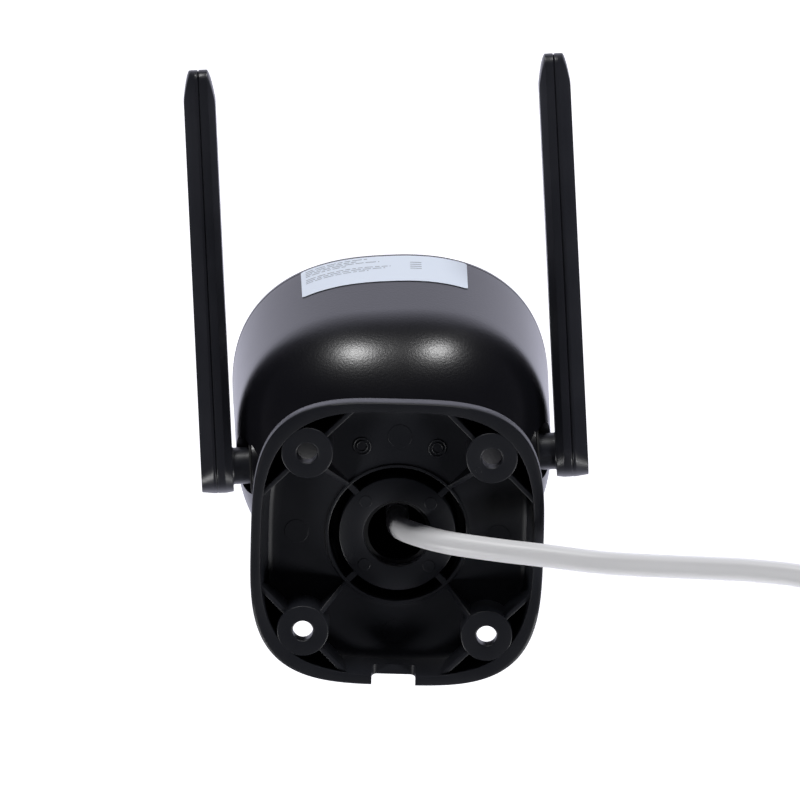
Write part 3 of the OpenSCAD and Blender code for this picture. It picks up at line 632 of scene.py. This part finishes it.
def add_ribs():
    """At each corner: a rib out to the corner, two to the sides, a gusset and a bridge inwards."""
    corner = BOSS * math.sqrt(2)
    parts = []

    def reach(depth):
        return (pocket_half(depth) + 0.9 - BOSS) * math.sqrt(2)
    root = RIB_ROOT
    across = [(5.3, root)] + [(reach(d), -d) for d in (-root, 8, 5, 0.7)] + [(5.3, -0.7)]
    for k in range(4):
        turn = Matrix.Rotation(math.radians(45 + 90 * k), 4, "Y")
        radial = [
            (corner + 5, root), (35.3, root), (36.8, -6), (37.7, -0.7), (corner + 5, -0.7),
        ]
        parts.append(moved(rib_profile(radial, RIB_HALF), turn))
        sideways = turn @ at(corner, 0, 0) @ Matrix.Rotation(math.radians(90), 4, "Y")
        parts.append(moved(rib_profile(across, RIB_HALF), sideways))
        parts.append(moved(rib_profile([(-u, y) for u, y in across], RIB_HALF), sideways))
        gusset = [
            (17.0, root), (corner - 5, root), (corner - 5, -1.5), (corner - 6.2, -1.5), (17.2, -9.1),
        ]
        parts.append(moved(rib_profile(gusset, RIB_HALF), turn))
        bridge = box_part((13.9, -13, -0.75), (16.7, -9.8, 0.75), 0.15)
        parts.append(moved(bridge, turn))
    return paint(joined("base_ribs", parts, "base", sharp=40), BASE_BLACK)


def disc_part(x, z, r, rise, y=FLOOR_Y, sides=40):
    """A low round disc that rises from the level y."""
    profile = [
        (r, y - 0.1), (r, y + rise * 0.5), (r - rise * 0.7, y + rise),
        (0.01, y + rise), (0.01, y - 0.1),
    ]
    return moved(turned_part(profile, sides), at(x, 0, z))


def add_base_marks():
    """Ejector marks and two moulded dials on the floor of the base."""
    parts = []
    for start, reach, r, rise in ((0, 24.2, 2.9, 0.08), (45, 11, 1.5, 0.1)):
        for a in range(start, 360, 90):
            turn = math.radians(a)
            parts.append(disc_part(reach * math.cos(turn), reach * math.sin(turn), r, rise))
    for x in (-9, 9):
        for r in (2.2, 1.4):
            ring = [(r, -10.1), (r, -9.85), (r - 0.15, -9.8), (r - 0.3, -9.85), (r - 0.3, -10.1)]
            parts.append(moved(turned_part(ring, 40), at(x, 0, 21.5)))
    dot = BOSS - 4.4 * 0.7
    parts.append(disc_part(-dot, dot, 0.8, 0.08, y=-0.06, sides=24))
    return paint(joined("base_marks", parts, "base"), BASE_BLACK)


add_base_shell()
add_bosses()
add_ribs()
add_base_marks()


# ---- Ball joint ----

def arc(r, start, end, steps, centre=-20):
    """[radius, y] points on a circle about the ball's centre, by angle from the neck."""
    angles = np.radians(np.linspace(start, end, steps))
    return [(r * math.sin(a), centre - r * math.cos(a)) for a in angles]


def add_liner():
    inner = arc(10.6, 68, 138, 18)
    profile = [(12.1, -23.9), (inner[0][0] + 0.2, -24.05)] + inner + [(8.4, -12.35), (12.1, -12.35)]
    liner = joined("ball_cup", [turned_part(profile, 96)], "ball_liner")
    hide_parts("socket_liner")
    paint(liner, INNER_BLACK)


def add_ball():
    profile = [(3.2, -44.0), (3.6, -44.2), (5.2, -44.2), (5.5, -43.9), (5.5, -29.4), (5.6, -29.1)]
    profile += arc(10.5, 32.5, 104, 40) + arc(8.7, 104, 22, 30) + [(3.2, -28)]
    place = HEAD @ BALL.inverted()
    ball = joined("ball_and_neck", [turned_part(profile, 128)], "ball_joint", place)
    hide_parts("ball_stud")
    paint(ball, BASE_BLACK)


LOCK_R, LOCK_SIDES, GRIP_STEP = 21.2, 480, 15


def add_lock_ring():
    """The ring about the ball, with a groove at every grip step."""
    t = np.arange(LOCK_SIDES) * 2 * math.pi / LOCK_SIDES
    half = GRIP_STEP / 2
    near = np.abs((np.degrees(t) + half) % GRIP_STEP - half) * math.pi / 180 * LOCK_R
    groove = np.clip(0.9 - near, 0, None) ** 0.5 * 0.62

    def ring(r, y, share):
        rr = r - groove * share
        return np.stack([rr * np.cos(t), np.full(LOCK_SIDES, y), rr * np.sin(t)], 1)
    levels = [
        (13.6, -26.5, 0), (15.7, -26.5, 0), (16.1, -26.4, 0), (20.3, -23.25, 0), (20.9, -22.9, 0.1),
        (LOCK_R, -22.3, 0.5), (LOCK_R, -21.6, 1), (LOCK_R, -13, 1), (21.0, -12.5, 1), (20.7, -12.4, 1),
        (18.9, -12.4, 0), (18.65, -12.7, 0), (18.65, -15.5, 0), (19.5, -15.6, 0), (19.5, -19.3, 0),
        (18.65, -19.4, 0), (18.65, -24.2, 0), (18.3, -24.3, 0), (10.2, -24.3, 0), (10.0, -24.5, 0),
    ]
    rings = [ring(*v) for v in levels]
    lock = joined("lock_ring_shell", [loft_part(rings, loop=True)], "lock_ring")
    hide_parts("lock_ring")
    paint(lock, BASE_BLACK)


add_liner()
add_ball()
add_lock_ring()


# ---- Head ----

RIM_R, DOME_R, DOME_S, DOME_DEPTH, HEAD_N, WALL = 39.3, 38.7, 30, 31, 2.42, 2.2
FLAT = 73.4 / 78.6
SPEAKER_S, BUTTON_X, CARD_S = 31.5, 17, 16


def head_section(s_or_angle, straight, inset=0):
    """(half-width, squareness, s, flatness) of the head, at a distance s or at a dome angle."""
    if straight:
        return RIM_R - inset - (RIM_R - DOME_R) * s_or_angle / DOME_S, HEAD_N, s_or_angle, FLAT
    a = math.radians(s_or_angle)
    flat = FLAT + (1 - FLAT) * math.sin(a) ** 2
    depth = DOME_S + (DOME_DEPTH - inset) * math.sin(a)
    return (DOME_R - inset) * math.cos(a), HEAD_N + (2 - HEAD_N) * math.sin(a), depth, flat


def head_solid(inset):
    """The head's outer form as one closed solid, drawn in by inset."""
    places = [head_section(s, True, inset) for s in (1.3, 10, 20)]
    places += [head_section(a, False, inset) for a in np.linspace(0, 70, 30)]
    rings = [square_y(r, n, FRONT_Y + s, 160) * (1, 1, flat) for r, n, s, flat in places]
    return joined("head_solid", [loft_part(rings)], None, HEAD)


def from_below(x, s):
    """Places a cutter on the underside of the head, pointing up."""
    return HEAD @ at(x, FRONT_Y + s, -38) @ TURN_Z


def head_cutters():
    """Antenna seats, speaker holes, the reset button's hole and the card opening."""
    cutters = []
    for side in (-1, 1):
        place = HEAD @ at(side * (SEAT_X + 4), FRONT_Y + PIVOT_S, 0) @ TURN_X
        cutters.append(joined("cutter", [rod_part(SEAT_R, -4, 4, 96)], None, place))
    circle = [(3 * math.cos(math.radians(a)), 3 * math.sin(math.radians(a))) for a in range(0, 360, 60)]
    for x, s in [(0, 0)] + circle:
        place = from_below(x, SPEAKER_S + s)
        cutters.append(joined("cutter", [rod_part(0.8, -5, 6, 24)], None, place))
    cutters.append(joined("cutter", [rod_part(2.15, -6, 8, 40)], None, from_below(BUTTON_X, CARD_S)))
    opening = box_part((-12, FRONT_Y + CARD_S - 7, -42), (12, FRONT_Y + CARD_S + 7, -34.4), 0.3)
    cutters.append(joined("cutter", [opening], None, HEAD))
    return cutters


def add_head():
    rings = []

    def add(r, n, s, flat=1):
        rings.append(square_y(r, n, FRONT_Y + s, SIDES) * (1, 1, flat))
    add(RIM_R - WALL, HEAD_N, 1.25, FLAT)
    add(RIM_R - 0.2, HEAD_N, 1.25, FLAT)
    add(RIM_R - 0.05, HEAD_N, 1.4, FLAT)
    for s in np.linspace(2, DOME_S, 12):
        add(*head_section(s, True))
    last = math.degrees(math.acos(10.4 / DOME_R))
    for a in np.linspace(0, last, 44)[1:]:
        add(*head_section(a, False))
    s = head_section(last, False)[2]
    neck_collar = (
        (9.9, s + 0.18), (9.65, s + 0.45), (9.55, s + 0.8), (9.5, 60.6), (9.35, 60.9), (9.05, 61),
        (7.95, 61), (7.75, 60.85), (7.7, 60.6), (7.7, 59.6), (5.62, 59.6), (5.58, 59.4), (5.58, 54),
        (10.5, 54),
    )
    for r, s2 in neck_collar:
        add(r, 2, s2)
    inner_last = math.degrees(math.acos(12 / (DOME_R - WALL)))
    for a in np.linspace(inner_last, 0, 16):
        add(*head_section(a, False, WALL))
    add(*head_section(15, True, WALL))
    shell = joined("head_shell", [loft_part(rings, loop=True)], None, HEAD, sharp=28)
    boolean(shell, head_cutters(), sharp=28)
    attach(shell, "head")
    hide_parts("rear_housing")
    paint(shell, HEAD_BLACK)


def add_seats():
    """The antenna bosses inside the head and their collars, trimmed to the head's form."""
    seats, collars = [], []
    for side in (-1, 1):
        face = SEAT_X - 0.02
        profile = rounded([(7.88, 29.6), (7.88, face), (4.6, face), (4.6, 29.6)], [0, 0.2, 0.15, 0])
        place = at(0, FRONT_Y + PIVOT_S, 0) @ outward(side)
        seats.append(moved(turned_part(profile, 96), place))
        collar_profile = [(7.86, 34), (7.86, 39), (7.11, 39), (7.11, 34)]
        collars.append(moved(turned_part(collar_profile, 96), place))
    paint(joined("antenna_seats", seats, "head", HEAD), HEAD_BLACK)
    collar = joined("seat_collars", collars, None, HEAD)
    boolean(collar, [head_solid(0.4)], "INTERSECT")
    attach(collar, "head")
    paint(collar, HEAD_BLACK)


def add_card_pad():
    pad = box_part((-13, FRONT_Y + 8.3, -34.38), (13, FRONT_Y + 23.7, -32.2), 0.3)
    paint(joined("card_pad", [pad], "head", HEAD), HEAD_BLACK)


add_head()
add_seats()
add_card_pad()


def add_front():
    """The bezel ring and the gloss panel, with softened edges."""
    def ring(r, s):
        return square_y(r, HEAD_N, FRONT_Y + s, SIDES) * (1, 1, FLAT)
    bezel = [
        (38.95, 0), (39.15, 0.06), (39.26, 0.2), (RIM_R, 0.4), (RIM_R, 1.2), (36.8, 1.2), (36.8, 4.65),
        (36.65, 4.8), (31.4, 4.8), (31.3, 4.7), (31.3, 3), (34.7, 3), (34.7, 0.35), (34.78, 0.12),
        (35.0, 0),
    ]
    o = joined("front_bezel", [loft_part([ring(*v) for v in bezel], loop=True)], "head", HEAD)
    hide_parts("front_ring")
    paint(o, GLOSS_BLACK)
    sheet = ((34.5, 2.8), (34.5, 0.95), (34.45, 0.84), (34.3, 0.8))
    panel = joined("front_glass_panel", [loft_part([ring(*v) for v in sheet])], None, HEAD)
    holes = [(0, 0, 12), (24, 0, 6.5), (-24, 0, 6.5), (0, 22, 1.6), (0, -22, 0.6)]
    cutters = []
    for x, z, r in holes:
        place = HEAD @ at(x, FRONT_Y + 1.8, z)
        cutters.append(joined("cutter", [rod_part(r, -3, 3, 96)], None, place))
    boolean(panel, cutters)
    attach(panel, "head")
    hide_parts("front_panel")
    paint(panel, GLOSS_BLACK)


add_front()


def add_seals():
    top = SEAT_X + 0.6
    profile = rounded([(6.88, SEAT_X), (6.88, top), (4.82, top), (4.82, SEAT_X)], 0.18)
    for side, name in SIDE_NAMES:
        place = HEAD @ at(0, FRONT_Y + PIVOT_S, 0) @ outward(side)
        o = joined(name + "_seal_ring", [turned_part(profile, 96)], "head", place)
        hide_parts(name + "_antenna_seal")
        paint(o, RUBBER)


add_seals()


# ---- Antennas ----

ANTENNA_R, TOP_HALF, ANTENNA_TOP, HALF_T, END_Z = 7.5, 6.5, 97.1, 3.85, 1.0
OUTER_EDGE, INNER_EDGE = (0.8, 2.6), (2.1, 1.75)


def paddle_ring(x, inset, top, sides=120):
    """The side outline at distance x from the seam, as the hull of three circles."""
    corner = 3 - inset / 2
    circles = [(0, END_Z - 0.85 * inset, ANTENNA_R - inset)]
    circles += [(s * (TOP_HALF - inset - corner), top - corner, corner) for s in (-1, 1)]
    out = []
    for k in range(sides):
        a = 2 * math.pi * (k + 0.5) / sides
        u = (math.cos(a), math.sin(a))
        best = max(circles, key=lambda c: c[0] * u[0] + c[1] * u[1] + c[2])
        out.append((x, best[0] + best[2] * u[0], best[1] + best[2] * u[1]))
    return out


def antenna_levels(flat, bevel):
    """(distance from the seam, inset, drop of the tip) from the seam to the face."""
    levels = [(0.02, 0.4, 0.4), (0.08, 0.26, 0.26), (0.16, 0.1, 0.1), (0.26, 0.02, 0.02), (0.34, 0, 0)]
    levels += [(flat - 0.14, 0, 0), (flat - 0.04, 0.01, 0), (flat + 0.08, 0.07, 0)]
    for x in np.linspace(flat + 0.2, HALF_T - 0.12, 13):
        drop = 6.7 * (max(0, x - 2.1) / 1.75) ** 1.75
        levels.append((x, bevel * (x - flat) / (HALF_T - flat), drop))
    levels += [(HALF_T - 0.04, bevel - 0.02, 6.5), (HALF_T, bevel + 0.1, 6.8), (HALF_T, bevel + 0.4, 7.1)]
    return levels


def half_part(side, edge):
    levels = antenna_levels(*edge)
    return loft_part([paddle_ring(side * x, inset, ANTENNA_TOP - drop) for x, inset, drop in levels])


def pin_part():
    """The pivot pin with its clip groove, from inside the head out to the antenna."""
    reach = ANTENNA_X - HALF_T
    profile = [
        (1.6, 27.0), (4.1, 27.0), (4.5, 27.3), (4.5, 27.8), (4.2, 27.85), (4.2, 29.25), (4.5, 29.3),
        (4.5, reach - 0.3), (4.6, reach - 0.1), (4.85, reach + 0.02), (4.85, reach + 0.4),
        (1.6, reach + 0.4),
    ]
    return moved(turned_part(profile, 80), at(-ANTENNA_X, 0, 0) @ TURN_X)


def add_antennas():
    for side, name in SIDE_NAMES:
        place, body = antenna_matrix(side), name + "_antenna"
        outer = joined(name + "_blade_outer", [half_part(1, OUTER_EDGE)], body, place, sharp=18)
        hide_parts(name + "_antenna_outer")
        inner_parts = [half_part(-1, INNER_EDGE), pin_part()]
        inner = joined(name + "_blade_inner", inner_parts, body, place, sharp=18)
        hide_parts(name + "_antenna_inner")
        paint(outer, ANTENNA_BLACK)
        paint(inner, ANTENNA_BLACK)


add_antennas()


# ---- Label ----

def on_head(t, s, lift):
    """A point on the head's straight part, at an angle in degrees and a distance from the rim."""
    a = math.radians(t)
    w = RIM_R - (RIM_R - DOME_R) * s / DOME_S + lift
    k = w / (abs(math.cos(a)) ** HEAD_N + abs(math.sin(a)) ** HEAD_N) ** (1 / HEAD_N)
    return (k * math.cos(a), FRONT_Y + s, FLAT * k * math.sin(a))


def label_patch(t0, t1, s0, s1, lift, thick, corner, columns=60, rows=12):
    """A thin sheet on the head with rounded corners, as (verts, faces)."""
    top, low = [], []
    width = (t1 - t0) / 57.3 * RIM_R
    for i in range(columns + 1):
        u = i / columns
        beyond = max(0, corner - min(u, 1 - u) * width)
        cut = corner - math.sqrt(max(0, corner ** 2 - beyond ** 2)) if corner else 0
        for j in range(rows + 1):
            s = s0 + cut + (s1 - s0 - 2 * cut) * j / rows
            t = t0 + (t1 - t0) * u
            top.append(on_head(t, s, lift + thick))
            low.append(on_head(t, s, lift))
    w, count = rows + 1, len(top)
    faces = []
    for i in range(columns):
        for j in range(rows):
            a = i * w + j
            faces.append((a, a + 1, a + w + 1, a + w))
            faces.append((count + a, count + a + w, count + a + w + 1, count + a + 1))
    rim = [i * w for i in range(columns + 1)] + [columns * w + j for j in range(1, w)]
    rim += [i * w + w - 1 for i in range(columns - 1, -1, -1)] + list(range(w - 2, 0, -1))
    for a, b in zip(rim, rim[1:] + rim[:1]):
        faces.append((a, b, count + b, count + a))
    return top + low, faces


PRINT_LIFT, PRINT_THICK = 0.18, 0.02
# Distance from the rim and last angle of each line of print
PRINT_ROWS = ((2.4, 84), (3.3, 80), (4.2, 88), (5.1, 76), (6.9, 92), (7.8, 90), (8.7, 84))


def add_label():
    """The label film, with plain lines where the real one has its print."""
    film = label_patch(59.7, 119.3, 1.4, 15.4, 0.05, 0.12, 0.35)
    label = joined("label_film", [film], "head", HEAD, sharp=40)
    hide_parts("rating_label")
    paint(label, LABEL)
    parts = []
    for s, last in PRINT_ROWS:
        t = 61.5
        while t < last:
            word = 1.2 + 2.6 * rng.random()
            end = min(t + word, last)
            parts.append(label_patch(t, end, s, s + 0.3, PRINT_LIFT, PRINT_THICK, 0, 3, 1))
            t += word + 0.7
    for k in range(4):
        s = 5.0 + 1.1 * k
        parts.append(label_patch(99, 103, s, s + 0.3, PRINT_LIFT, PRINT_THICK, 0, 4, 1))
    paint(joined("label_lines", parts, "head", HEAD), PRINT)


add_label()


# ---- Materials on the CAD pieces ----

CAD_MATERIALS = {
    INNER_BLACK: ["stud_nut", "inner_frame", "lens_barrel", "lens_holder", "speaker"],
    RUBBER: ["neck_seal", "panel_seal", "card_cover_seal", "cable_gland"],
    HEAD_BLACK: ["card_cover", "reset_button"],
    STEEL: [
        "frame_screws", "board_screws", "card_cover_screws", "shield_can", "memory_card_slot",
        "button_switch", "left_antenna_clip", "right_antenna_clip", "microphone",
    ],
    LENS_GLASS: ["lens_cover_glass", "lens_glass"],
    CLEAR: ["led_lenses"],
    BOARD: [
        "sensor_board", "led_board", "main_board", "wifi_module",
        "left_antenna_board", "right_antenna_board",
    ],
    CHIP: ["image_sensor", "white_leds", "infrared_leds", "light_sensor"],
    CABLE_WHITE: ["inner_cable", "power_connector"],
    BLACK_CABLE: ["antenna_coax"],
}
for material, names in CAD_MATERIALS.items():
    for node_name in names:
        paint(NODES[node_name], material)


# ---- Floor and light ----

FLOOR_Z, FLOOR_HALF = -1.4, 12


def add_floor():
    mesh = bpy.data.meshes.new("floor")
    corners = [(x * FLOOR_HALF, y * FLOOR_HALF, FLOOR_Z) for x, y in ((-1, -1), (1, -1), (1, 1), (-1, 1))]
    mesh.from_pydata(corners, [], [(0, 1, 2, 3)])
    floor = bpy.data.objects.new("floor", mesh)
    bpy.context.scene.collection.objects.link(floor)
    m, _, bsdf = nodes_of("floor")
    bsdf.inputs["Base Color"].default_value = (0.9, 0.9, 0.9, 1)
    bsdf.inputs["Roughness"].default_value = 0.9
    bsdf.inputs["Emission Color"].default_value = (1, 1, 1, 1)
    bsdf.inputs["Emission Strength"].default_value = 1.0
    mesh.materials.append(m)
    floor.visible_glossy = False
    floor.visible_diffuse = False


DARK_EDGE, WHITE_LEVEL, DARK_LEVEL = (-0.62, -0.1), 1.4, 0.025
REFLECTION_TINT = (0.84, 0.84, 1.0)


def add_world():
    """White to the camera; to the object, white with a soft dark zone on the camera's side."""
    world = bpy.data.worlds.new("studio")
    bpy.context.scene.world = world
    world.use_nodes = True
    tree = world.node_tree
    coords = tree.nodes.new("ShaderNodeTexCoord")
    dot = tree.nodes.new("ShaderNodeVectorMath")
    dot.operation = "DOT_PRODUCT"
    dot.inputs[1].default_value = (0, math.cos(VIEW_ELEVATION), math.sin(VIEW_ELEVATION))
    tree.links.new(coords.outputs["Generated"], dot.inputs[0])
    level = tree.nodes.new("ShaderNodeMapRange")
    level.interpolation_type = "SMOOTHSTEP"
    level.inputs["From Min"].default_value, level.inputs["From Max"].default_value = DARK_EDGE
    level.inputs["To Min"].default_value = WHITE_LEVEL
    level.inputs["To Max"].default_value = DARK_LEVEL
    tree.links.new(dot.outputs["Value"], level.inputs["Value"])
    path = tree.nodes.new("ShaderNodeLightPath")
    to_camera = path.outputs["Is Camera Ray"]
    strength = tree.nodes.new("ShaderNodeMix")
    tree.links.new(to_camera, strength.inputs["Factor"])
    tree.links.new(level.outputs["Result"], strength.inputs["A"])
    strength.inputs["B"].default_value = 1.0
    tint = mix_colour(tree, to_camera, REFLECTION_TINT, (1, 1, 1))
    background = tree.nodes["Background"]
    tree.links.new(strength.outputs["Result"], background.inputs["Strength"])
    tree.links.new(tint, background.inputs["Color"])


def add_light(name, place, size, power):
    """A round soft light aimed at the origin."""
    data = bpy.data.lights.new(name, "AREA")
    data.shape = "DISK"
    data.size = size
    data.energy = power
    light = bpy.data.objects.new(name, data)
    bpy.context.scene.collection.objects.link(light)
    light.location = place
    light.rotation_mode = "QUATERNION"
    light.rotation_quaternion = (-Vector(place)).to_track_quat("-Z", "Y")


add_floor()
add_world()
add_light("soft_left", (0.72, 0.33, 2.22), 0.5, 22)
add_light("soft_right", (-0.74, 0.27, 2.23), 0.5, 18)
add_light("fill_left", (1.5, 1.05, -1.25), 0.6, 24)
add_light("fill_right", (-1.5, 1.05, -1.25), 0.6, 30)
bpy.context.scene.view_settings.view_transform = "Standard"
